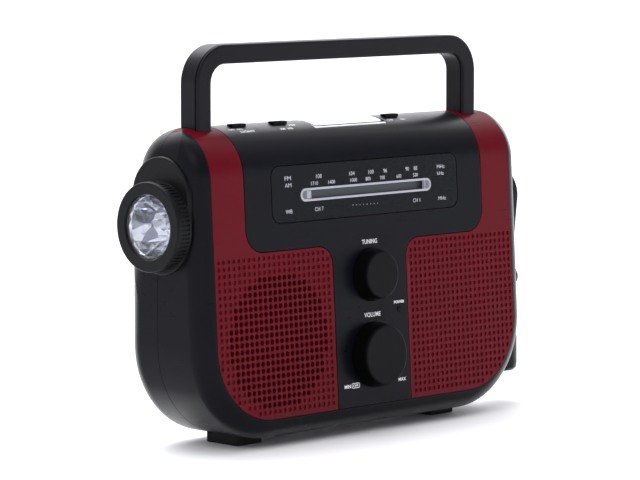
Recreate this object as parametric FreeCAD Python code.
import FreeCAD, Part
import math
import os
from FreeCAD import Vector

# Emergency radio with side crank, side flashlight, top lamp and carry handle.
# Millimetres. X to the right seen from the front, -Y towards the listener, +Z up,
# table at Z = 0. Drawn about the middle of the case; write() moves each piece to
# the middle of the whole outline.
# Shapes on the leaning front face are drawn on a vertical face at Y = 0, with Z
# as the distance up the face ("up"), and then laid onto it by on_face().

# ---- case form ---------------------------------------------------------------
CASE_HALF = 123.5       # half width
BOTTOM_Z = 4.6          # underside above the table
TOP_Z = 165.1           # crown of the top deck
BACK_Y = 33.0           # rear wall plane
LEAN = 3.301            # front face leans back, degrees
FACE_Y = -28.075        # front face at table height
TOP_FRONT_R = 26.5      # arch from the front face to the top deck
TOP_REAR_R = 24.0       # arch from the top deck to the rear wall
CORNER_R = 49.5         # lower corners seen from the front
EDGE_R = 10.5           # rounding of the front and rear perimeter
END_R = 20.0            # softer rounding where the rear arch meets the end walls
WALL = 2.4              # case wall
PANEL_T = 2.0           # thickness of the front panels
BACKING_T = 2.2         # wall behind the front panels
PART_Y = 9.0            # parting plane between front and rear shells
SEAM = 0.15             # half width of a seam line
PANEL_GAP = 0.3         # inset of each front panel in its opening
SCREW_XZ = [(-112.0, 146.0), (112.0, 146.0), (-112.0, 42.0), (112.0, 42.0), (-40.0, 13.0)]

# ---- front panels ------------------------------------------------------------
TRAY_HALF = 114.0       # outer edge of the red panels
TRAY_Z = 15.1           # lower edge of the panels
TRAY_R = 38.0           # lower outer corner of the red panels
STEM_HALF = 28.0        # half width of the centre stem
STEM_R = 10.0           # corner between stem and upper fascia
ARM_HALF = 90.6         # half width of the upper black fascia
ARM_Z = 101.3           # underside of the upper fascia
ARM_R = 12.0            # outer lower corner of the upper fascia

# ---- controls ----------------------------------------------------------------
SPEAKER_X, SPEAKER_UP, SPEAKER_R = -69.6, 55.3, 36.0
HOLE_PITCH, HOLE_R = 3.6, 1.35
TUNE_X, TUNE_Z = 0.6, 84.0
VOLUME_X, VOLUME_Z = 0.5, 41.6
LED_X, LED_Z, LED_R = 21.4, 64.0, 1.6    # LED_R is the hole
WINDOW_HALF, WINDOW_Z0, WINDOW_Z1, WINDOW_R = 71.4, 115.0, 145.0, 6.0
SLOT_Z, SLOT_H, SLOT_HALF = 128.8, 6.9, 49.9
SPINDLE_R, SPINDLE_BORE = 2.98, 3.03
SWITCH_Y = 1.5
SWITCH_X = {"light_switch": -74.5, "band_switch": -44.5, "power_switch": 40.9}
LAMP_X0, LAMP_X1, LAMP_Y0, LAMP_Y1 = -24.1, 31.0, -6.4, 8.4

# ---- carry handle ------------------------------------------------------------
HANDLE_OUT, HANDLE_T = 106.0, 10.0
HANDLE_IN = HANDLE_OUT - HANDLE_T
HANDLE_Y0, HANDLE_Y1 = -2.6, 10.6
HANDLE_TOP, HANDLE_R = 207.3, 20.0
PIVOT_Y, PIVOT_Z = 4.0, 153.0

# ---- flashlight on the left end ----------------------------------------------
LIGHT_Y, LIGHT_Z = 5.0, 116.2            # axis
BEZEL_R, BEZEL_X = 23.0, -134.5          # radius, outer face
PAD_Y = LIGHT_Y + 0.5
PAD_Z0, PAD_Z1 = 112.0, 130.7            # centres of the two rounded ends
PAD_R, PAD_X = 20.8, -125.2              # end radius, outer face

# ---- crank and gear train on the right end -----------------------------------
CRANK_Y, CRANK_Z = 4.5, 117.0            # crank axis
ARM_X0, ARM_X1 = 124.2, 133.0            # inner and outer face of the arm
FOLD_X, FOLD_Z = 133.2, 71.0             # hinge of the folding grip
GRIP_X = 134.4
SHAFT_R, SHAFT_BORE = 4.0, 4.05
MODULE, TEETH_BIG, TEETH_SMALL = 1.0, 36, 12
AXIS_STEP = MODULE * (TEETH_BIG + TEETH_SMALL) / 2.0
IDLER_Z = CRANK_Z - AXIS_STEP
DYNAMO_Z = IDLER_Z - AXIS_STEP

# ---- rear wall ---------------------------------------------------------------
BAY_X0, BAY_X1, BAY_Y, BAY_Z0, BAY_Z1 = -22.0, 92.0, 11.6, 13.6, 54.4
BAY_WALL = 1.6
DOOR_INSET = 2.0                         # door outline inside the bay outline
CELL_Y, CELL_Z = 22.2, (26.2, 41.8)
PORT_X0, PORT_X1, PORT_Z0, PORT_Z1 = -98.0, -74.0, 62.0, 88.0
ANTENNA_X, ANTENNA_Y, ANTENNA_Z = -84.0, 30.4, 150.0
TUBE_X0, TUBE_X1 = ANTENNA_X + 8.0, 78.0

# Middle of the whole outline, seen from the middle of the case
ORIGIN_X, ORIGIN_Y = 5.3, -0.898

LEAN_TAN = math.tan(math.radians(LEAN))
LEAN_COS = math.cos(math.radians(LEAN))


# ---- helpers -----------------------------------------------------------------
def box(x0, x1, y0, y1, z0, z1):
    return Part.makeBox(x1 - x0, y1 - y0, z1 - z0, Vector(x0, y0, z0))


def cyl_x(x0, x1, y, z, radius):
    return Part.makeCylinder(radius, x1 - x0, Vector(x0, y, z), Vector(1, 0, 0))


def cyl_y(x, y0, y1, z, radius):
    return Part.makeCylinder(radius, y1 - y0, Vector(x, y0, z), Vector(0, 1, 0))


def cyl_z(x, y, z0, z1, radius):
    return Part.makeCylinder(radius, z1 - z0, Vector(x, y, z0), Vector(0, 0, 1))


def span(side, inner, outer, middle=0.0):
    """Ordered bounds of a strip on one side (-1 or 1) of the middle."""
    return sorted((middle + side * inner, middle + side * outer))


def closed_face(points):
    return Part.Face(Part.makePolygon(points + [points[0]]))


def prism(points, sweep):
    return closed_face([Vector(*p) for p in points]).extrude(Vector(*sweep))


def straight(edge, axis):
    if edge.Curve.TypeId != "Part::GeomLine":
        return False
    along = edge.lastVertex().Point.sub(edge.firstVertex().Point)
    return along.Length > 1e-6 and abs(getattr(along, axis)) / along.Length > 0.999


def at(edge, axis, value):
    """True where the middle of the edge lies at value on the axis."""
    return abs(getattr(edge.CenterOfMass, axis) - value) < 0.01


def rounded(shape, radius, pick):
    edges = [e for e in shape.Edges if pick(e)]
    return shape.makeFillet(radius, edges) if edges else shape


def round_rect(x0, x1, y0, y1, z0, z1, radius):
    return rounded(box(x0, x1, y0, y1, z0, z1), radius, lambda e: straight(e, "y"))


def slot_form(half, height, y0, y1):
    """Bar with round ends, centred on the dial slot."""
    return round_rect(-half, half, y0, y1, SLOT_UP - height / 2, SLOT_UP + height / 2,
                      height / 2 - 0.01)


def largest(shape):
    return max(shape.Solids, key=lambda s: s.Volume)


def face_y(z):
    return FACE_Y + z * LEAN_TAN


def up_face(z):
    """Distance up the leaning face for a height above the table."""
    return z / LEAN_COS


def on_face(shape):
    shape = shape.copy()
    shape.rotate(Vector(0, 0, 0), Vector(1, 0, 0), -LEAN)
    shape.translate(Vector(0, FACE_Y, 0))
    return shape


def write(name, shape):
    if isinstance(shape, list):
        shape = Part.makeCompound([s.removeSplitter() for s in shape])
    elif len(shape.Solids) == 1:
        shape = shape.Solids[0]
    shape = shape.copy()
    shape.translate(Vector(-ORIGIN_X, -ORIGIN_Y, 0))
    shape.exportStep("parts/%s.step" % name)


TUNE_UP = up_face(TUNE_Z)
VOLUME_UP = up_face(VOLUME_Z)
LED_UP = up_face(LED_Z)
SLOT_UP = up_face(SLOT_Z)
WINDOW_UP0, WINDOW_UP1 = up_face(WINDOW_Z0), up_face(WINDOW_Z1)


# ---- outer form of the case --------------------------------------------------
def end_form(inset):
    """Envelope that softens the ends of the rear arch and touches nothing else."""
    half = CASE_HALF - inset
    axis_y, axis_z = BACK_Y - TOP_REAR_R, TOP_Z - TOP_REAR_R
    radius = TOP_REAR_R - inset + 0.02
    low, middle, high = (math.radians(a) for a in (8.0, 43.0, 78.0))

    def on_arch(angle):
        return Vector(-half, axis_y + radius * math.cos(angle),
                      axis_z + radius * math.sin(angle))
    arc_low, arc_high = on_arch(low), on_arch(high)
    # tangents run on well past the case
    below = arc_low.add(Vector(0, math.sin(low) * 170.0, -math.cos(low) * 170.0))
    ahead = arc_high.add(Vector(0, -math.sin(high) * 120.0, math.cos(high) * 120.0))
    corner = Vector(-half, ahead.y, below.z)
    wire = Part.Wire([Part.makeLine(below, arc_low),
                      Part.Arc(arc_low, on_arch(middle), arc_high).toShape(),
                      Part.makeLine(arc_high, ahead),
                      Part.makeLine(ahead, corner),
                      Part.makeLine(corner, below)])
    form = Part.Face(wire).extrude(Vector(2 * half, 0, 0))

    def arch_rim(edge):
        if abs(abs(edge.CenterOfMass.x) - half) > 0.01 or edge.BoundBox.XLength > 0.01:
            return False
        return not (at(edge, "y", corner.y) or at(edge, "z", corner.z))
    return rounded(form, END_R - inset, arch_rim)


case_forms = {}


def case_form(inset):
    """Solid outer form of the case, inset all round; each inset is built once."""
    if inset in case_forms:
        return case_forms[inset]
    half = CASE_HALF - inset
    bottom, top, back = BOTTOM_Z + inset, TOP_Z - inset, BACK_Y - inset
    lean_inset = inset / LEAN_COS
    form = prism([(-half, face_y(bottom) + lean_inset, bottom), (-half, back, bottom),
                  (-half, back, top), (-half, face_y(top) + lean_inset, top)],
                 (2 * half, 0, 0))
    form = rounded(form, TOP_FRONT_R - inset, lambda e: straight(e, "x")
                   and e.CenterOfMass.z > 120 and e.CenterOfMass.y < 0)
    form = rounded(form, TOP_REAR_R - inset, lambda e: straight(e, "x")
                   and e.CenterOfMass.z > top - 0.01 and at(e, "y", back))
    corners = rounded(box(-half, half, -60, 60, bottom, 260), CORNER_R - inset,
                      lambda e: straight(e, "y") and e.CenterOfMass.z < 60)
    form = form.common(corners)
    form = rounded(form, EDGE_R - inset, lambda e: not straight(e, "y")
                   and not (straight(e, "x") and e.CenterOfMass.z > 100))
    form = form.common(end_form(inset))
    if len(form.Solids) == 1:
        form = form.Solids[0]
    case_forms[inset] = form
    return form


OUTER = case_form(0.0)
UNDER_PANELS = case_form(PANEL_T)
INSIDE = case_form(WALL)
FRONT = box(-200, 200, -80, PART_Y - SEAM, -10, 260)
REAR = box(-200, 200, PART_Y + SEAM, 80, -10, 260)


# ---- outlines and cutters shared by several pieces ---------------------------
def outline(corners):
    """Prism along Y through the case; corners are rows of x, z, corner radius."""
    form = prism([(x, -60, z) for x, z, radius in corners], (0, 130, 0))
    for x, z, radius in corners:
        if radius:
            form = rounded(form, radius,
                           lambda e: straight(e, "y") and at(e, "x", x) and at(e, "z", z))
    return form


def tray(grow):
    """Outline round all the front panels."""
    half, bottom, radius = TRAY_HALF + grow, TRAY_Z - grow, TRAY_R + grow
    return outline([(-half, bottom, radius), (half, bottom, radius),
                    (half, 250, 0), (-half, 250, 0)])


def side_outline(side, inset):
    """Outline of the red panel on one side."""
    stem, edge = side * (STEM_HALF + inset), side * (TRAY_HALF - inset)
    arm = side * (ARM_HALF + inset)
    return outline([(stem, TRAY_Z + inset, 0), (edge, TRAY_Z + inset, TRAY_R - inset),
                    (edge, 250, 0), (arm, 250, 0),
                    (arm, ARM_Z - inset, ARM_R + inset),
                    (stem, ARM_Z - inset, STEM_R - inset)])


def tee_outline(inset):
    """Outline of the black centre fascia."""
    stem, arm = STEM_HALF - inset, ARM_HALF - inset
    bottom, under = TRAY_Z + inset, ARM_Z + inset
    stem_r, arm_r = STEM_R + inset, ARM_R - inset
    return outline([(-stem, bottom, 0), (stem, bottom, 0), (stem, under, stem_r),
                    (arm, under, arm_r), (arm, 250, 0), (-arm, 250, 0),
                    (-arm, under, arm_r), (-stem, under, stem_r)])


def lamp_opening(inset):
    return box(LAMP_X0 + inset, LAMP_X1 - inset, LAMP_Y0 + inset, LAMP_Y1 - inset, 140, 180)


def switch_slots():
    return [box(x - 5.6, x + 5.6, SWITCH_Y - 1.4, SWITCH_Y + 1.4, 150, 180)
            for x in SWITCH_X.values()]


def handle_slots(grow=0.0):
    """Slots for the handle ends; grown, they give the pockets around them."""
    slots = []
    for side in (-1, 1):
        x0, x1 = span(side, HANDLE_IN - 0.4, HANDLE_OUT + 0.4)
        reach = 6.9 + grow
        slots.append(box(x0 - grow, x1 + grow, PIVOT_Y - reach, 60, PIVOT_Z - reach, 200))
    return slots


POCKET_WALL = 1.8


def handle_pivots(overrun, radius):
    """Cylinders on the pivot axis that run past both sides of each handle end."""
    return [cyl_x(*span(side, HANDLE_IN - overrun, HANDLE_OUT + overrun),
                  PIVOT_Y, PIVOT_Z, radius) for side in (-1, 1)]


def pad_form(grow):
    """Upright round-ended form of the flashlight pad."""
    radius = PAD_R + grow
    upper = cyl_x(-130, -100, PAD_Y, PAD_Z1, radius)
    lower = cyl_x(-130, -100, PAD_Y, PAD_Z0, radius)
    between = box(-130, -100, PAD_Y - radius, PAD_Y + radius, PAD_Z0, PAD_Z1)
    return upper.fuse(lower).fuse(between).removeSplitter()


PAD_OPENING = pad_form(0.15)


def port_box(grow, y0, y1):
    return box(PORT_X0 - grow, PORT_X1 + grow, y0, y1, PORT_Z0 - grow, PORT_Z1 + grow)


# ---- shells ------------------------------------------------------------------
def front_shell():
    shell = OUTER.cut(INSIDE).common(FRONT)
    backing = UNDER_PANELS.cut(case_form(PANEL_T + BACKING_T)).common(tray(2.2)).common(FRONT)
    shell = shell.fuse(backing)
    shell = shell.fuse([p.common(UNDER_PANELS).common(FRONT)
                        for p in handle_slots(POCKET_WALL)])
    for x, z in SCREW_XZ:
        boss = cyl_y(x, face_y(z) + 3.0, PART_Y - SEAM, z, 3.8)
        shell = shell.fuse(boss.common(UNDER_PANELS))
    panel_recess = OUTER.cut(UNDER_PANELS).common(tray(0))
    shell = shell.cut(panel_recess.common(box(-200, 200, -80, PART_Y, -10, 260)))
    cuts = [on_face(cyl_y(SPEAKER_X, -5, 20, SPEAKER_UP, 36.6)),
            on_face(cyl_y(TUNE_X, -5, 20, TUNE_UP, 3.6)),
            on_face(cyl_y(VOLUME_X, -5, 20, VOLUME_UP, 3.6)),
            on_face(cyl_y(LED_X, -5, 20, LED_UP, LED_R)),
            on_face(box(-49, 49, -5, 20, SLOT_UP - 5.2, SLOT_UP + 5.2)),
            lamp_opening(1.4), PAD_OPENING, cyl_x(115, 130, CRANK_Y, CRANK_Z, 7.0)]
    cuts += switch_slots() + handle_slots() + handle_pivots(2.0, 2.52)
    cuts += [cyl_y(x, -14, 20, z, 1.55) for x, z in SCREW_XZ]
    return largest(shell.cut(cuts))


def locating_lip():
    """Lip along the sides and the bottom that reaches into the front shell."""
    lip = case_form(2.55).cut(case_form(3.9)).common(box(-200, 200, 5.5, 10, -10, 130))
    return lip.cut(tray(3.2)).cut(PAD_OPENING).cut(cyl_x(110, 130, CRANK_Y, CRANK_Z, 9.5))


def rear_shell():
    shell = OUTER.cut(INSIDE).common(REAR)
    # ledge for the folded antenna, open at the right end so it can be drawn out there
    adds = [box(-95, 130, 24.9, 60, 144.4, 200).common(OUTER)]
    adds += [p.common(OUTER).common(REAR) for p in handle_slots(POCKET_WALL)]
    adds.append(cyl_y(ANTENNA_X, 19.0, 25.5, ANTENNA_Z, 6.0))
    adds += [cyl_y(x, PART_Y + SEAM, 40, z, 4.6).common(OUTER) for x, z in SCREW_XZ]
    adds.append(locating_lip())
    # battery bay, open to the rear, and the surround of the sockets
    adds.append(box(BAY_X0, BAY_X1, BAY_Y, 32, BAY_Z0, BAY_Z1).common(case_form(0.5)))
    adds.append(port_box(4.0, 28.6, 32.5))
    shell = shell.fuse(adds)
    cuts = [box(-93, 200, 26.9, 60, 146.4, 200),
            box(BAY_X0 + BAY_WALL, BAY_X1 - BAY_WALL, BAY_Y + BAY_WALL, 60,
                BAY_Z0 + BAY_WALL, BAY_Z1 - BAY_WALL),
            port_box(0.0, 20, 60), port_box(2.2, 31.2, 60),
            PAD_OPENING, cyl_x(115, 130, CRANK_Y, CRANK_Z, 7.0),
            cyl_y(ANTENNA_X, 10, 40, ANTENNA_Z, 3.05),
            cyl_y(ANTENNA_X, 26.0, 40, ANTENNA_Z, 6.9)] + handle_slots()
    for x, z in SCREW_XZ:
        cuts.append(cyl_y(x, 0, 60, z, 1.7))
        cuts.append(cyl_y(x, 25.5, 60, z, 3.4))
    # vents behind the loudspeaker; those level with the sockets stand further right
    for i in range(9):
        z = 30 + 5.0 * i
        x0, x1 = (-66, -30) if 57 < z < 93 else (-96, -44)
        cuts.append(box(x0, x1, 25, 60, z, z + 1.8))
    return largest(shell.cut(cuts))


# ---- front panels ------------------------------------------------------------
def panel_layer(form):
    return OUTER.cut(UNDER_PANELS).common(FRONT).common(form)


def left_grille_panel():
    first_x, middle_up = -31.8, 55.26
    holes = []
    for column in range(23):
        for row in range(-12, 11):
            x = first_x - HOLE_PITCH * column
            up = middle_up - HOLE_PITCH * row
            if math.hypot(x - SPEAKER_X, up - SPEAKER_UP) <= SPEAKER_R - 0.4:
                holes.append(cyl_y(x, -3, 5, up, HOLE_R))
    panel = panel_layer(side_outline(-1, PANEL_GAP))
    return largest(panel.cut(on_face(Part.makeCompound(holes))).cut(handle_slots()))


def right_grille_panel():
    return largest(panel_layer(side_outline(1, PANEL_GAP)).cut(handle_slots()))


def centre_fascia():
    window = round_rect(-WINDOW_HALF, WINDOW_HALF, -5, 10, WINDOW_UP0, WINDOW_UP1, WINDOW_R)
    cuts = [on_face(cyl_y(TUNE_X, -5, 20, TUNE_UP, 4.2)),
            on_face(cyl_y(VOLUME_X, -5, 20, VOLUME_UP, 4.2)),
            on_face(cyl_y(LED_X, -5, 20, LED_UP, LED_R)),
            on_face(window), lamp_opening(0.0)] + switch_slots()
    return largest(panel_layer(tee_outline(PANEL_GAP)).cut(cuts))


def lamp_lens():
    lens = OUTER.cut(case_form(1.8)).common(lamp_opening(0.4))
    # fine groove that sets off the front rim, and a notch to lift the lens out
    groove = box(LAMP_X0 + 0.8, LAMP_X1 - 0.8, -4.75, -4.3, 140, 200)
    lens = lens.cut(groove.common(OUTER.cut(case_form(0.9))))
    notch = box(LAMP_X1 - 2.4, LAMP_X1 + 1, LAMP_Y0 + 1.6, LAMP_Y0 + 3.9, 140, 200)
    return largest(lens.cut(notch))


# ---- dial --------------------------------------------------------------------
WINDOW_GAP = 0.6
POST_X, POST_UP = 56.0, SLOT_UP - 5.5    # cord posts
CORD_Y0, CORD_Y1, CORD_T = 8.5, 9.1, 0.6
CORD_R = 5.4                             # cord centre line on the spindle drum


def dial_window():
    gap = WINDOW_GAP
    window = round_rect(-WINDOW_HALF + gap, WINDOW_HALF - gap, 0.0, 1.9,
                        WINDOW_UP0 + gap, WINDOW_UP1 - gap, WINDOW_R - gap)
    return on_face(window.cut(slot_form(SLOT_HALF, SLOT_H, -5, 10)))


def dial_slot_trim():
    trim = slot_form(SLOT_HALF - 0.05, SLOT_H - 0.1, -0.3, 1.9)
    return on_face(trim.cut(box(-45.1, 45.1, -5, 10, SLOT_UP - 2.3, SLOT_UP + 2.3)))


def dial_pointer():
    """Pointer with a hooked stem through the backplate to a block behind it."""
    up = SLOT_UP
    pointer = box(-45.0, -41.5, 0.5, 1.7, up - 2.15, up + 2.15)
    pointer = pointer.fuse(box(-44.6, -41.9, 1.6, 2.7, up - 2.1, up + 1.5))
    pointer = pointer.fuse(box(-44.6, -41.9, 2.05, 2.7, up - 3.6, up - 2.0))
    pointer = pointer.fuse(box(-44.2, -42.3, 2.6, 4.4, up - 3.6, up - 2.7))
    return on_face(pointer.fuse(box(-47.2, -39.3, 4.2, 7.0, up - 3.2, up + 3.2)))


def dial_backplate():
    """Plate behind the slot with two arms that hold the cord posts."""
    low, high = SLOT_UP - 4.8, SLOT_UP + 4.8
    arm_y0, arm_y1, arm_low = 4.35, 5.6, POST_UP - 3.0
    plate = box(-48.5, 48.5, 3.0, 3.8, low, high)
    plate = plate.cut(box(-45.4, 45.4, 0, 10, SLOT_UP - 3.9, SLOT_UP - 2.5))
    strips = box(-60.0, 60.0, arm_y0, arm_y1, arm_low, POST_UP - 0.2)
    plate = plate.fuse(strips.cut(box(-48.6, 48.6, 0, 10, POST_UP - 10, POST_UP + 10)))
    for side in (-1, 1):
        plate = plate.fuse(box(*span(side, 47.6, 60.0), arm_y0, arm_y1, arm_low, POST_UP + 3.0))
        plate = plate.fuse(box(*span(side, 47.2, 48.5), 3.0, arm_y1, low, high))
        plate = plate.fuse(box(*span(side, 47.2, 48.9), arm_y0, arm_y1, arm_low, high))
        plate = plate.fuse(cyl_y(side * POST_X, 4.4, 10.2, POST_UP, 1.9))
        plate = plate.fuse(cyl_y(side * POST_X, 9.6, 10.4, POST_UP, 3.0))
    return on_face(plate)


def cord_run(start, end):
    (x0, z0), (x1, z1) = start, end
    run_x, run_z = x1 - x0, z1 - z0
    length = math.hypot(run_x, run_z)
    off_x, off_z = -run_z / length * CORD_T / 2, run_x / length * CORD_T / 2
    return prism([(x0 + off_x, CORD_Y0, z0 + off_z), (x1 + off_x, CORD_Y0, z1 + off_z),
                  (x1 - off_x, CORD_Y0, z1 - off_z), (x0 - off_x, CORD_Y0, z0 - off_z)],
                 (0, CORD_Y1 - CORD_Y0, 0))


def dial_cord():
    """Cord loop from the spindle drum round the two posts."""
    path = [(TUNE_X - CORD_R, TUNE_UP),
            (-POST_X - 2.5, POST_UP - 1.0), (-POST_X - 2.2, POST_UP + 1.6),
            (-POST_X, POST_UP + 2.6), (POST_X, POST_UP + 2.6),
            (POST_X + 2.2, POST_UP + 1.6), (POST_X + 2.5, POST_UP - 1.0),
            (TUNE_X + CORD_R, TUNE_UP)]
    runs = [cord_run(start, end) for start, end in zip(path, path[1:])]
    cord = runs[0]
    for run in runs[1:]:
        cord = cord.fuse(run)
    for x, up in path[1:-1]:
        cord = cord.fuse(cyl_y(x, CORD_Y0, CORD_Y1, up, CORD_T / 2))
    drum = cyl_y(TUNE_X, 8.0, 10, TUNE_UP, CORD_R - CORD_T / 2)
    ring = cyl_y(TUNE_X, CORD_Y0, CORD_Y1, TUNE_UP, CORD_R + CORD_T / 2).cut(drum)
    upper_half = box(TUNE_X - 20, TUNE_X + 20, 8, 10, TUNE_UP, TUNE_UP + 20)
    cord = cord.fuse(ring.cut(upper_half))
    return on_face(largest(cord.cut(drum)))


# ---- knobs, spindles and power light -----------------------------------------
def knob(x, up, radius, height, rim, taper):
    """Slightly tapered knob, hollow behind, with a hub and blind spindle bore."""
    back_y = -0.5
    out = Vector(0, -1, 0)
    body = Part.makeCone(radius, radius - taper, height, Vector(x, back_y, up), out)
    body = rounded(body, rim, lambda e: at(e, "y", back_y - height))
    body = body.cut(Part.makeCylinder(radius - 2.8, height - 4.6,
                                      Vector(x, back_y + 0.01, up), out))
    body = body.fuse(Part.makeCylinder(5.0, height - 3.0, Vector(x, back_y, up), out))
    bore = Part.makeCylinder(3.0, height - 3.5, Vector(x, 0, up), out)
    return on_face(body.cut(bore))


def tuning_knob():
    return knob(TUNE_X, TUNE_UP, radius=14.2, height=8.2, rim=1.6, taper=1.8)


def volume_knob():
    return knob(VOLUME_X, VOLUME_UP, radius=17.4, height=9.0, rim=1.7, taper=1.5)


def tuning_spindle():
    spindle = cyl_y(TUNE_X, -4.4, 11.5, TUNE_UP, SPINDLE_R)
    # cord drum, its two flanges, and the thinner rear end
    for y0, y1, radius in ((8.0, 9.6, 5.0), (7.2, 7.9, 6.4), (9.7, 10.4, 6.4), (11.0, 14.0, 2.0)):
        spindle = spindle.fuse(cyl_y(TUNE_X, y0, y1, TUNE_UP, radius))
    return on_face(spindle)


def spindle_bush():
    bore = cyl_y(TUNE_X, 0, 20, TUNE_UP, SPINDLE_BORE)
    flange = cyl_y(TUNE_X, 4.3, 6.6, TUNE_UP, 6.5).cut(bore)
    return on_face(flange.fuse(cyl_y(TUNE_X, 2.3, 4.5, TUNE_UP, 3.55).cut(bore)))


def tuning_capacitor():
    body = box(TUNE_X - 10, TUNE_X + 10, 13.0, 25.0, TUNE_UP - 10, TUNE_UP + 10)
    body = rounded(body, 1.0, lambda e: True)
    return on_face(body.cut(cyl_y(TUNE_X, 0, 17, TUNE_UP, 2.05)))


def volume_spindle():
    return on_face(cyl_y(VOLUME_X, -5.2, 9.0, VOLUME_UP, SPINDLE_R))


def volume_control():
    can = cyl_y(VOLUME_X, 6.8, 14.5, VOLUME_UP, 8.5)
    can = can.fuse(cyl_y(VOLUME_X, 2.3, 7.0, VOLUME_UP, 3.55))
    can = can.fuse(cyl_y(VOLUME_X, 4.3, 6.0, VOLUME_UP, 5.5))
    can = can.fuse(box(VOLUME_X - 7, VOLUME_X + 7, 8.0, 10.0, VOLUME_UP - 14, VOLUME_UP - 5))
    return on_face(can.cut(cyl_y(VOLUME_X, 0, 9.3, VOLUME_UP, SPINDLE_BORE)))


def power_led():
    led = cyl_y(LED_X, -0.3, 5.6, LED_UP, LED_R - 0.1)
    return on_face(led.fuse(cyl_y(LED_X, 4.4, 5.6, LED_UP, 2.0)))


# ---- top switches and lamp board ---------------------------------------------
BOARD_TOP = 151.65      # seat of the parts on the top board


def switch_cap(x):
    """Ribbed slider that follows the top deck, with a stem below."""
    cap = box(x - 5.2, x + 5.2, SWITCH_Y - 2.1, SWITCH_Y + 2.1, TOP_Z - 4.0, TOP_Z + 1.0)
    cap = rounded(cap, 0.6, lambda e: e.CenterOfMass.z > TOP_Z - 3.0)
    cap = cap.cut(case_form(-0.2))
    for i in range(-2, 3):
        groove_x = x + i * 1.8
        cap = cap.cut(box(groove_x - 0.35, groove_x + 0.35, SWITCH_Y - 4, SWITCH_Y + 4,
                          TOP_Z + 0.6, TOP_Z + 4))
    return cap.fuse(box(x - 2.2, x + 2.2, SWITCH_Y - 1.2, SWITCH_Y + 1.2, 157.2, TOP_Z + 0.2))


def slide_switch_bodies():
    return [box(x - 9, x + 9, SWITCH_Y - 3.5, SWITCH_Y + 3.5, BOARD_TOP, 156.9)
            for x in SWITCH_X.values()]


def top_board():
    board = box(-82, 58, -6, 14, 150.0, 151.6)
    return board.cut([cyl_z(x, 10, 140, 160, 1.2) for x in (-79, 55)])


def lamp_leds():
    y, dome_z = 2.3, 152.6
    leds = []
    for x in (-22.0, -6.0, 10.0, 24.0):
        dome = Part.makeSphere(1.6, Vector(x, y, dome_z))
        dome = dome.common(box(x - 3, x + 3, -2, 6, dome_z, 160))
        leds.append(box(x - 1.8, x + 1.8, y - 1.8, y + 1.8, BOARD_TOP, dome_z).fuse(dome))
    return leds


# ---- carry handle ------------------------------------------------------------
def hoop(half, top, radius, y0, y1, bottom=148):
    """Solid arch with rounded upper corners."""
    form = prism([(-half, y0, bottom), (half, y0, bottom), (half, y0, top), (-half, y0, top)],
                 (0, y1 - y0, 0))
    return rounded(form, radius, lambda e: straight(e, "y") and e.CenterOfMass.z > 190)


def carry_handle():
    inner_top, inner_r = HANDLE_TOP - HANDLE_T, HANDLE_R - HANDLE_T
    handle = hoop(HANDLE_OUT, HANDLE_TOP, HANDLE_R, HANDLE_Y0, HANDLE_Y1, bottom=150)
    handle = handle.cut(hoop(HANDLE_IN, inner_top, inner_r, -20, 40, bottom=100))
    handle = handle.cut(box(-200, 200, -20, 40, 0, PIVOT_Z))
    # long edges of the grip
    handle = rounded(handle, 1.2, lambda e: (at(e, "y", HANDLE_Y0) or at(e, "y", HANDLE_Y1))
                     and not (straight(e, "x") and e.CenterOfMass.z < 160))
    # fine groove beside the front edge, outside and inside
    y0, y1, depth = HANDLE_Y0 + 1.25, HANDLE_Y0 + 2.15, 0.9
    around = hoop(HANDLE_OUT + 2, HANDLE_TOP + 2, HANDLE_R + 2, y0, y1)
    handle = handle.cut(around.cut(hoop(HANDLE_OUT - depth, HANDLE_TOP - depth,
                                        HANDLE_R - depth, y0, y1)))
    handle = handle.cut(hoop(HANDLE_IN + depth, inner_top + depth, inner_r + depth, y0, y1))
    for lug in handle_pivots(0.0, 6.3):
        handle = handle.fuse(lug)
    return largest(handle.cut(cyl_x(-120, 120, PIVOT_Y, PIVOT_Z, 2.58)))


def handle_pins():
    return handle_pivots(1.9, 2.5)


# ---- flashlight --------------------------------------------------------------
def light_cyl(x0, x1, radius):
    return cyl_x(x0, x1, LIGHT_Y, LIGHT_Z, radius)


def flashlight_housing():
    housing = pad_form(0.0).common(box(PAD_X, -116.5, -60, 60, 60, 200))
    housing = rounded(housing, 0.8, lambda e: at(e, "x", PAD_X))
    housing = housing.fuse(light_cyl(-131.0, PAD_X + 1, 20.4))
    housing = housing.fuse(light_cyl(-117.0, -98.0, 19.4))
    housing = housing.cut(light_cyl(-140, -100.0, 17.5))
    return largest(housing.cut(light_cyl(-101, -90, 3.2)))


def flashlight_bezel():
    bezel = light_cyl(BEZEL_X, PAD_X - 0.1, BEZEL_R)
    bezel = rounded(bezel, 0.9, lambda e: at(e, "x", BEZEL_X))
    bezel = bezel.cut(light_cyl(-131.15, -120, 20.45)).cut(light_cyl(-133.5, -120, 17.45))
    bezel = bezel.cut(Part.makeCone(17.1, 16.4, 1.2, Vector(BEZEL_X - 0.1, LIGHT_Y, LIGHT_Z),
                                    Vector(1, 0, 0)))
    grooves = []
    count = 64
    for i in range(count):
        groove = box(-131.9, PAD_X - 1.2, -0.62, 0.62, BEZEL_R - 0.65, BEZEL_R + 2)
        groove.rotate(Vector(0, 0, 0), Vector(1, 0, 0), 360.0 * i / count)
        groove.translate(Vector(0, LIGHT_Y, LIGHT_Z))
        grooves.append(groove)
    return largest(bezel.cut(grooves))


def flashlight_lens():
    return light_cyl(-133.45, -131.9, 17.3)


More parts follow.
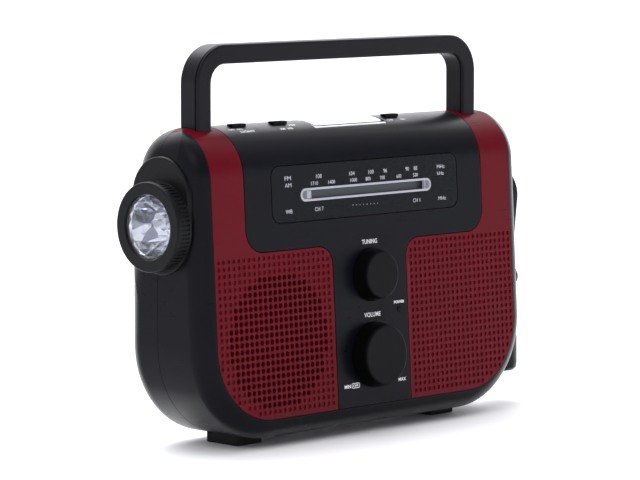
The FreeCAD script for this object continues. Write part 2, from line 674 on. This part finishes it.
def flashlight_reflector():
    """Bowl of revolution about the flashlight axis, with a rim at its mouth."""
    throat_x, throat_r, mouth_r, depth = -109.5, 4.2, 16.0, 20.5
    rim_x, rim_r, steps = -131.7, 17.3, 12
    bowl = [(throat_x - depth * (i / steps) ** 1.75, throat_r + (mouth_r - throat_r) * i / steps)
            for i in range(steps + 1)]
    profile = bowl + [(rim_x, mouth_r), (rim_x, rim_r), (-130.4, rim_r)]
    profile += [(x + 0.9, radius + 1.0) for x, radius in reversed(bowl[:-1])]
    profile.append((throat_x + 0.9, throat_r))
    section = closed_face([Vector(x, 0, radius) for x, radius in profile])
    reflector = section.revolve(Vector(0, 0, 0), Vector(1, 0, 0), 360)
    reflector.translate(Vector(0, LIGHT_Y, LIGHT_Z))
    return reflector


def flashlight_led():
    led = light_cyl(-112.0, -107.6, 2.5)
    led = led.fuse(Part.makeSphere(2.5, Vector(-112.0, LIGHT_Y, LIGHT_Z)))
    return led.fuse(light_cyl(-108.2, -107.0, 9.0)).fuse(light_cyl(-107.0, -103.0, 3.0))


# ---- crank -------------------------------------------------------------------
def crank_cyl(x0, x1, radius):
    return cyl_x(x0, x1, CRANK_Y, CRANK_Z, radius)


def fold_ear(side):
    """Ear of the grip hinge on one side of the arm."""
    y0, y1 = span(side, 6.7, 12.2, CRANK_Y)
    ear = cyl_y(FOLD_X, y0, y1, FOLD_Z, 4.0)
    ear = ear.fuse(box(FOLD_X - 7.6, FOLD_X + 1.0, y0, y1, FOLD_Z, FOLD_Z + 9))
    return ear.fuse(prism([(FOLD_X + 4.0, y0, FOLD_Z), (FOLD_X - 1.0, y0, FOLD_Z + 12),
                           (FOLD_X - 8, y0, FOLD_Z + 12), (FOLD_X - 4.0, y0, FOLD_Z)],
                          (0, y1 - y0, 0)))


def crank_arm():
    top, bottom = CRANK_Z - 2, FOLD_Z + 6.2
    blade = prism([(ARM_X0, CRANK_Y - 16.3, top), (ARM_X0, CRANK_Y - 12.6, bottom),
                   (ARM_X0, CRANK_Y + 12.6, bottom), (ARM_X0, CRANK_Y + 16.3, top)],
                  (ARM_X1 - ARM_X0, 0, 0))
    arm = crank_cyl(ARM_X0, ARM_X1, 16.5).fuse(blade).removeSplitter()
    arm = rounded(arm, 2.2, lambda e: at(e, "x", ARM_X1))
    # relief on the outer face
    arm = arm.cut(box(ARM_X1 - 1.2, ARM_X1 + 3, CRANK_Y - 8.2, CRANK_Y + 8.2,
                      FOLD_Z + 14, CRANK_Z - 15))
    for side in (-1, 1):
        arm = arm.fuse(fold_ear(side))
    arm = arm.cut(box(FOLD_X - 20, FOLD_X + 20, CRANK_Y - 6.7, CRANK_Y + 6.7, 50, bottom))
    return largest(arm.cut([cyl_y(FOLD_X, -30, 40, FOLD_Z, 1.62), crank_cyl(120, 140, 1.6),
                            crank_cyl(130.2, 140, 4.0), crank_cyl(120, 129.0, 4.02)]))


def crank_screw():
    screw = crank_cyl(130.25, 132.4, 3.6).fuse(crank_cyl(118.0, 130.5, 1.45))
    for half_y, half_z in ((2.4, 0.4), (0.4, 2.4)):
        screw = screw.cut(box(131.6, 133, CRANK_Y - half_y, CRANK_Y + half_y,
                              CRANK_Z - half_z, CRANK_Z + half_z))
    return screw


def crank_fold_pin():
    return cyl_y(FOLD_X, CRANK_Y - 12.0, CRANK_Y + 12.0, FOLD_Z, 1.6)


def crank_grip_post():
    post = cyl_y(FOLD_X, CRANK_Y - 6.5, CRANK_Y + 6.5, FOLD_Z, 3.9)
    post = post.fuse(box(FOLD_X - 3.6, FOLD_X + 4.2, CRANK_Y - 6.0, CRANK_Y + 6.0, 63.5, FOLD_Z))
    # collar, stem and end head
    for z0, z1, radius in ((62.2, 64.2, 7.0), (20.4, 63.0, 3.2), (18.2, 20.1, 4.4)):
        post = post.fuse(cyl_z(GRIP_X, CRANK_Y, z0, z1, radius))
    cuts = [cyl_y(FOLD_X, -30, 40, FOLD_Z, 1.66)]
    for half_x, half_y in ((2.6, 0.5), (0.5, 2.6)):
        cuts.append(box(GRIP_X - half_x, GRIP_X + half_x, CRANK_Y - half_y, CRANK_Y + half_y,
                        18.0, 18.8))
    return largest(post.cut(cuts))


# radius, z
SLEEVE_PROFILE = [
    (3.25, 61.9), (8.3, 61.9), (9.0, 61.2), (9.0, 48.0), (9.6, 42.0), (10.6, 36.0),
    (10.7, 22.0), (10.3, 19.2), (8.8, 17.6), (5.2, 17.6), (5.2, 20.2), (3.25, 20.2)]


def crank_grip_sleeve():
    section = closed_face([Vector(radius, 0, z) for radius, z in SLEEVE_PROFILE])
    sleeve = section.revolve(Vector(0, 0, 0), Vector(0, 0, 1), 360)
    sleeve.translate(Vector(GRIP_X, CRANK_Y, 0))
    return sleeve


def crank_shaft():
    return crank_cyl(90.5, 129.0, SHAFT_R).cut(crank_cyl(117.5, 135, 1.5))


def crank_bush():
    bush = crank_cyl(118.4, 123.9, 6.9).fuse(crank_cyl(118.4, 120.8, 9.0))
    return bush.cut(crank_cyl(110, 130, SHAFT_BORE))


# ---- gear train --------------------------------------------------------------
PRESSURE_ANGLE = math.radians(20.0)
BACKLASH = 0.16
ADDENDUM, DEDENDUM = 0.70, 1.05          # in modules
PHASE_BIG = -90.0                        # a tooth points down
PHASE_SMALL = 90.0 + 180.0 / TEETH_SMALL  # a tooth gap points up


def involute(angle):
    return math.tan(angle) - angle


def gear(teeth, x0, x1, z, phase):
    """Spur gear about an X axis; phase turns a tooth centre from +Y towards +Z, degrees."""
    pitch_r = MODULE * teeth / 2.0
    base_r = pitch_r * math.cos(PRESSURE_ANGLE)
    tip_r, root_r = pitch_r + ADDENDUM * MODULE, pitch_r - DEDENDUM * MODULE
    start_r = max(base_r, root_r)
    half = math.pi / (2 * teeth) - BACKLASH / (2 * pitch_r) + involute(PRESSURE_ANGLE)

    def flank_angle(radius):
        return half - involute(math.acos(min(1.0, base_r / radius)))
    steps = 5
    flank = []
    if root_r < start_r - 1e-6:
        flank.append((root_r, flank_angle(start_r)))
    for j in range(steps + 1):
        radius = start_r + (tip_r - start_r) * j / steps
        flank.append((radius, flank_angle(radius)))
    polar = []
    for i in range(teeth):
        centre = math.radians(phase) + 2 * math.pi * i / teeth
        polar += [(radius, centre - angle) for radius, angle in flank]
        polar += [(radius, centre + angle) for radius, angle in reversed(flank)]
    rim = [Vector(x0, CRANK_Y + radius * math.cos(angle), z + radius * math.sin(angle))
           for radius, angle in polar]
    return closed_face(rim).extrude(Vector(x1 - x0, 0, 0))


def crank_gear():
    wheel = gear(TEETH_BIG, 104.0, 109.0, CRANK_Z, PHASE_BIG)
    wheel = wheel.fuse(crank_cyl(103.4, 111.2, 7.0))
    cuts = [crank_cyl(90, 120, SHAFT_R)]
    for i in range(4):
        angle = math.radians(45 + 90 * i)
        cuts.append(cyl_x(100, 109.99, CRANK_Y + 12 * math.cos(angle),
                          CRANK_Z + 12 * math.sin(angle), 3.2))
    return largest(wheel.cut(cuts))


def idler_gear():
    idler = gear(TEETH_SMALL, 103.2, 109.6, IDLER_Z, PHASE_SMALL)
    idler = idler.fuse(gear(TEETH_BIG, 97.0, 102.0, IDLER_Z, PHASE_BIG))
    idler = idler.fuse(cyl_x(90.6, 113.2, CRANK_Y, IDLER_Z, 2.0))
    return largest(idler.fuse(cyl_x(101.9, 103.3, CRANK_Y, IDLER_Z, 4.4)))


def dynamo_cyl(x0, x1, radius):
    return cyl_x(x0, x1, CRANK_Y, DYNAMO_Z, radius)


def dynamo_rotor():
    rotor = gear(TEETH_SMALL, 96.4, 102.6, DYNAMO_Z, PHASE_SMALL)
    return largest(rotor.fuse(dynamo_cyl(66.0, 103.5, 1.5)).fuse(dynamo_cyl(69.0, 87.5, 8.5)))


def dynamo_housing():
    bore = dynamo_cyl(60, 100, 1.56)
    housing = dynamo_cyl(66.5, 90.4, 12.0).cut(dynamo_cyl(68.0, 88.6, 9.2)).cut(bore)
    return largest(housing.fuse(dynamo_cyl(66.2, 68.2, 4.0).cut(bore)))


def gearbox_frame():
    """Two plates joined by four posts."""
    frame = box(90.6, 92.4, -12.5, 21.5, 56.5, 141.0)
    frame = frame.fuse(box(111.6, 113.2, -12.5, 21.5, 56.5, 141.0))
    frame = frame.fuse([cyl_x(92, 112, y, z, 2.2) for z in (64.0, 138.0) for y in (-9.5, 18.5)])
    return largest(frame.cut([crank_cyl(80, 120, SHAFT_BORE),
                              cyl_x(80, 120, CRANK_Y, IDLER_Z, 2.05),
                              dynamo_cyl(80, 120, 2.4)]))


# ---- loudspeaker -------------------------------------------------------------
# Profiles: radius, depth behind the front face
BASKET_PROFILE = [
    (33.4, 4.3), (38.4, 4.3), (38.4, 5.9), (34.6, 5.9), (19.0, 19.5),
    (19.0, 21.0), (10.6, 21.0), (10.6, 19.8), (17.6, 19.8), (33.4, 5.6)]
MAGNET_PROFILE = [
    (0.0, 21.1), (20.0, 21.1), (20.0, 30.0), (16.0, 30.0), (16.0, 31.6), (0.0, 31.6)]
CONE_PROFILE = [
    (0.0, 8.6), (5.0, 9.4), (9.0, 12.6), (9.6, 14.4), (29.0, 6.4), (31.0, 4.6), (33.0, 5.4),
    (33.0, 4.5), (31.0, 3.8), (28.6, 5.4), (9.2, 13.2), (5.2, 8.6), (0.0, 7.8)]


def speaker_lathe(profile):
    section = closed_face([Vector(radius, depth, 0) for radius, depth in profile])
    form = section.revolve(Vector(0, 0, 0), Vector(0, 1, 0), 360)
    form.translate(Vector(SPEAKER_X, 0, SPEAKER_UP))
    return on_face(form)


def speaker_basket():
    windows = []
    for i in range(4):
        window = box(21, 33, 8.0, 18.2, -9, 9)
        window.rotate(Vector(0, 0, 0), Vector(0, 1, 0), 45 + 90 * i)
        window.translate(Vector(SPEAKER_X, 0, SPEAKER_UP))
        windows.append(on_face(window))
    return largest(speaker_lathe(BASKET_PROFILE).cut(windows))


def speaker_magnet():
    return speaker_lathe(MAGNET_PROFILE)


def speaker_cone():
    return speaker_lathe(CONE_PROFILE)


# ---- main board, cells and rechargeable pack ---------------------------------
def main_board():
    seat = -4.5
    board = box(-28, 60, -6.0, -4.4, 18.0, 140.0)
    board = board.cut([cyl_y(x, -10, 0, z, 1.6) for z in (22, 136) for x in (-24, 56)])
    board = board.cut(box(VOLUME_X - 10, VOLUME_X + 10, -10, 0, 30, 54))
    board = board.cut(box(TUNE_X - 12, TUNE_X + 12, -10, 0, TUNE_Z - 12, TUNE_Z + 12))
    components = [
        box(20, 34, seat, -2.2, 100, 114), box(-20, -8, seat, -2.4, 104, 112),
        box(38, 52, seat, -1.0, 60, 68), cyl_y(44, seat, 4.0, 40, 4.0),
        cyl_y(34, seat, 4.0, 40, 4.0), cyl_y(44, seat, 3.0, 52, 3.0),
        cyl_y(-18, seat, 3.0, 64, 3.0), box(-24, -14, seat, 3.0, 116, 126),
        box(0, 10, seat, 3.0, 116, 126), box(24, 29, seat, -2.0, 84, 92)]
    return largest(board.fuse(components))


def battery_cells():
    return [cyl_x(x, x + 49.0, CELL_Y, z, 7.2).fuse(cyl_x(x + 48.9, x + 50.2, CELL_Y, z, 2.7))
            for z in CELL_Z for x in (-15.6, 36.6)]


def battery_contacts():
    """Tapered springs on plates at the left, one common plate at the right."""
    contacts = []
    for z in CELL_Z:
        spring = Part.makeCone(5.0, 2.6, 3.4, Vector(-19.8, CELL_Y, z), Vector(1, 0, 0))
        contacts.append(spring.fuse(box(-20.2, -19.7, 17.0, 27.5, z - 5, z + 5)))
    contacts.append(box(88.0, 88.6, 17.0, 27.5, 21.0, 47.0))
    return contacts


def rechargeable_pack():
    cells = [cyl_x(-62, -18, 22.0, 104 + 11.0 * i, 5.2) for i in range(3)]
    pack = cells[0].fuse(cells[1:]).fuse(box(-62, -18, 19.5, 24.5, 104, 126))
    return largest(pack.removeSplitter())


# ---- battery door and sockets ------------------------------------------------
def battery_door():
    """Door hinged on its lower edge."""
    x0, x1 = BAY_X0 + DOOR_INSET + 0.3, BAY_X1 - DOOR_INSET - 0.3
    hinge_z = BAY_Z0 + DOOR_INSET + 1.5
    door = box(x0, x1, BACK_Y - WALL, BACK_Y, hinge_z, BAY_Z1 - DOOR_INSET - 0.3)
    door = door.fuse(cyl_x(x0, x1, BACK_Y - WALL / 2, hinge_z, WALL / 2))
    door = rounded(door, 0.5, lambda e: straight(e, "x") and at(e, "y", BACK_Y)
                   and e.CenterOfMass.z > 40)
    # finger grooves
    for i in range(5):
        z = 42.0 + 1.8 * i
        door = door.cut(box(24, 46, 32.4, 34, z, z + 0.8))
    return largest(door)


def socket_cover():
    """Rubber cover over the sockets, with a living hinge on its inner side."""
    hinge_x, z0, z1 = -73.4, 60.1, 89.9
    cover = box(-99.9, hinge_x, 31.4, BACK_Y, z0, z1)
    cover = rounded(cover, 2.0, lambda e: straight(e, "y") and e.CenterOfMass.x < -80)
    cover = cover.fuse(cyl_z(hinge_x, 32.2, z0, z1, 0.8))
    return largest(cover.fuse(box(-98.5, -95.0, 32.8, 34.2, 71, 79)))


def socket_block():
    x = (PORT_X0 + PORT_X1) / 2
    return largest(port_box(-0.5, 20.5, 30.0).cut([
        cyl_y(x, 24, 40, 82.0, 1.8), cyl_y(x, 24, 40, 74.0, 2.7),
        box(x - 4.5, x + 4.5, 24, 40, 65.0, 68.2)]))


# ---- telescopic antenna ------------------------------------------------------
def tube_cyl(x0, x1, radius):
    return cyl_x(x0, x1, ANTENNA_Y, ANTENNA_Z, radius)


def antenna_swivel():
    x, y, z = ANTENNA_X, ANTENNA_Y, ANTENNA_Z
    swivel = cyl_y(x, 27.0, 33.9, z, 6.5).fuse(cyl_y(x, 18.0, 27.2, z, 3.0))
    swivel = swivel.cut(box(x - 3.3, x + 10, 27.6, 40, z - 1.6, z + 1.6))
    return largest(swivel.fuse(cyl_z(x, y, z - 5.0, z + 5.0, 1.3)))


def antenna_lower_tube():
    """Outer tube with a flat blade that turns on the swivel pin."""
    x, y, z = ANTENNA_X, ANTENNA_Y, ANTENNA_Z
    tube = tube_cyl(TUBE_X0, TUBE_X1, 3.2).cut(tube_cyl(TUBE_X0 + 12, TUBE_X1 + 1, 2.55))
    blade = box(x, TUBE_X0 + 6, y - 2.6, y + 2.6, z - 1.5, z + 1.5)
    blade = blade.fuse(cyl_z(x, y, z - 1.5, z + 1.5, 2.6))
    return largest(tube.fuse(blade).cut(cyl_z(x, y, 100, 200, 1.35)))


def antenna_middle_tube():
    tube = tube_cyl(TUBE_X0 + 13, TUBE_X1 + 0.5, 2.5)
    return tube.cut(tube_cyl(TUBE_X0 + 14.5, TUBE_X1 + 2, 1.75))


def antenna_tip():
    rod = tube_cyl(TUBE_X0 + 15, TUBE_X1 + 2.0, 1.7)
    return rod.fuse(tube_cyl(TUBE_X1 + 0.9, TUBE_X1 + 4.6, 3.1))


# ---- feet and screws ---------------------------------------------------------
def rubber_feet():
    feet = []
    for side in (-1, 1):
        foot = box(*span(side, 65.0, 83.5), -8.0, 16.0, 0.0, 9.0)
        foot = rounded(foot, 2.0, lambda e: straight(e, "z"))
        foot = rounded(foot, 0.8, lambda e: e.CenterOfMass.z < 0.01)
        feet.append(largest(foot.cut(case_form(-0.02))))
    return feet


def case_screws():
    screws = []
    for x, z in SCREW_XZ:
        screw = cyl_y(x, 25.55, 27.5, z, 3.1).fuse(cyl_y(x, -8.0, 25.6, z, 1.5))
        for half_x, half_z in ((2.0, 0.4), (0.4, 2.0)):
            screw = screw.cut(box(x - half_x, x + half_x, 26.7, 28, z - half_z, z + half_z))
        screws.append(screw)
    return screws


# ---- write the pieces; each file takes the name of its function --------------
PIECES = (
    front_shell, rear_shell, left_grille_panel, right_grille_panel, centre_fascia, lamp_lens,
    dial_window, dial_slot_trim, dial_pointer, dial_backplate, dial_cord,
    tuning_knob, volume_knob, tuning_spindle, spindle_bush, tuning_capacitor,
    volume_spindle, volume_control, power_led, slide_switch_bodies, top_board, lamp_leds,
    carry_handle, handle_pins, flashlight_housing, flashlight_bezel, flashlight_lens,
    flashlight_reflector, flashlight_led, crank_arm, crank_screw, crank_fold_pin,
    crank_grip_post, crank_grip_sleeve, crank_shaft, crank_bush, crank_gear, idler_gear,
    dynamo_rotor, dynamo_housing, gearbox_frame, speaker_basket, speaker_magnet, speaker_cone,
    main_board, battery_cells, battery_contacts, rechargeable_pack, battery_door,
    socket_cover, socket_block, antenna_swivel, antenna_lower_tube, antenna_middle_tube,
    antenna_tip, rubber_feet, case_screws)

os.makedirs("parts", exist_ok=True)
for piece in PIECES:
    write(piece.__name__, piece())
for name, x in SWITCH_X.items():
    write(name, switch_cap(x))
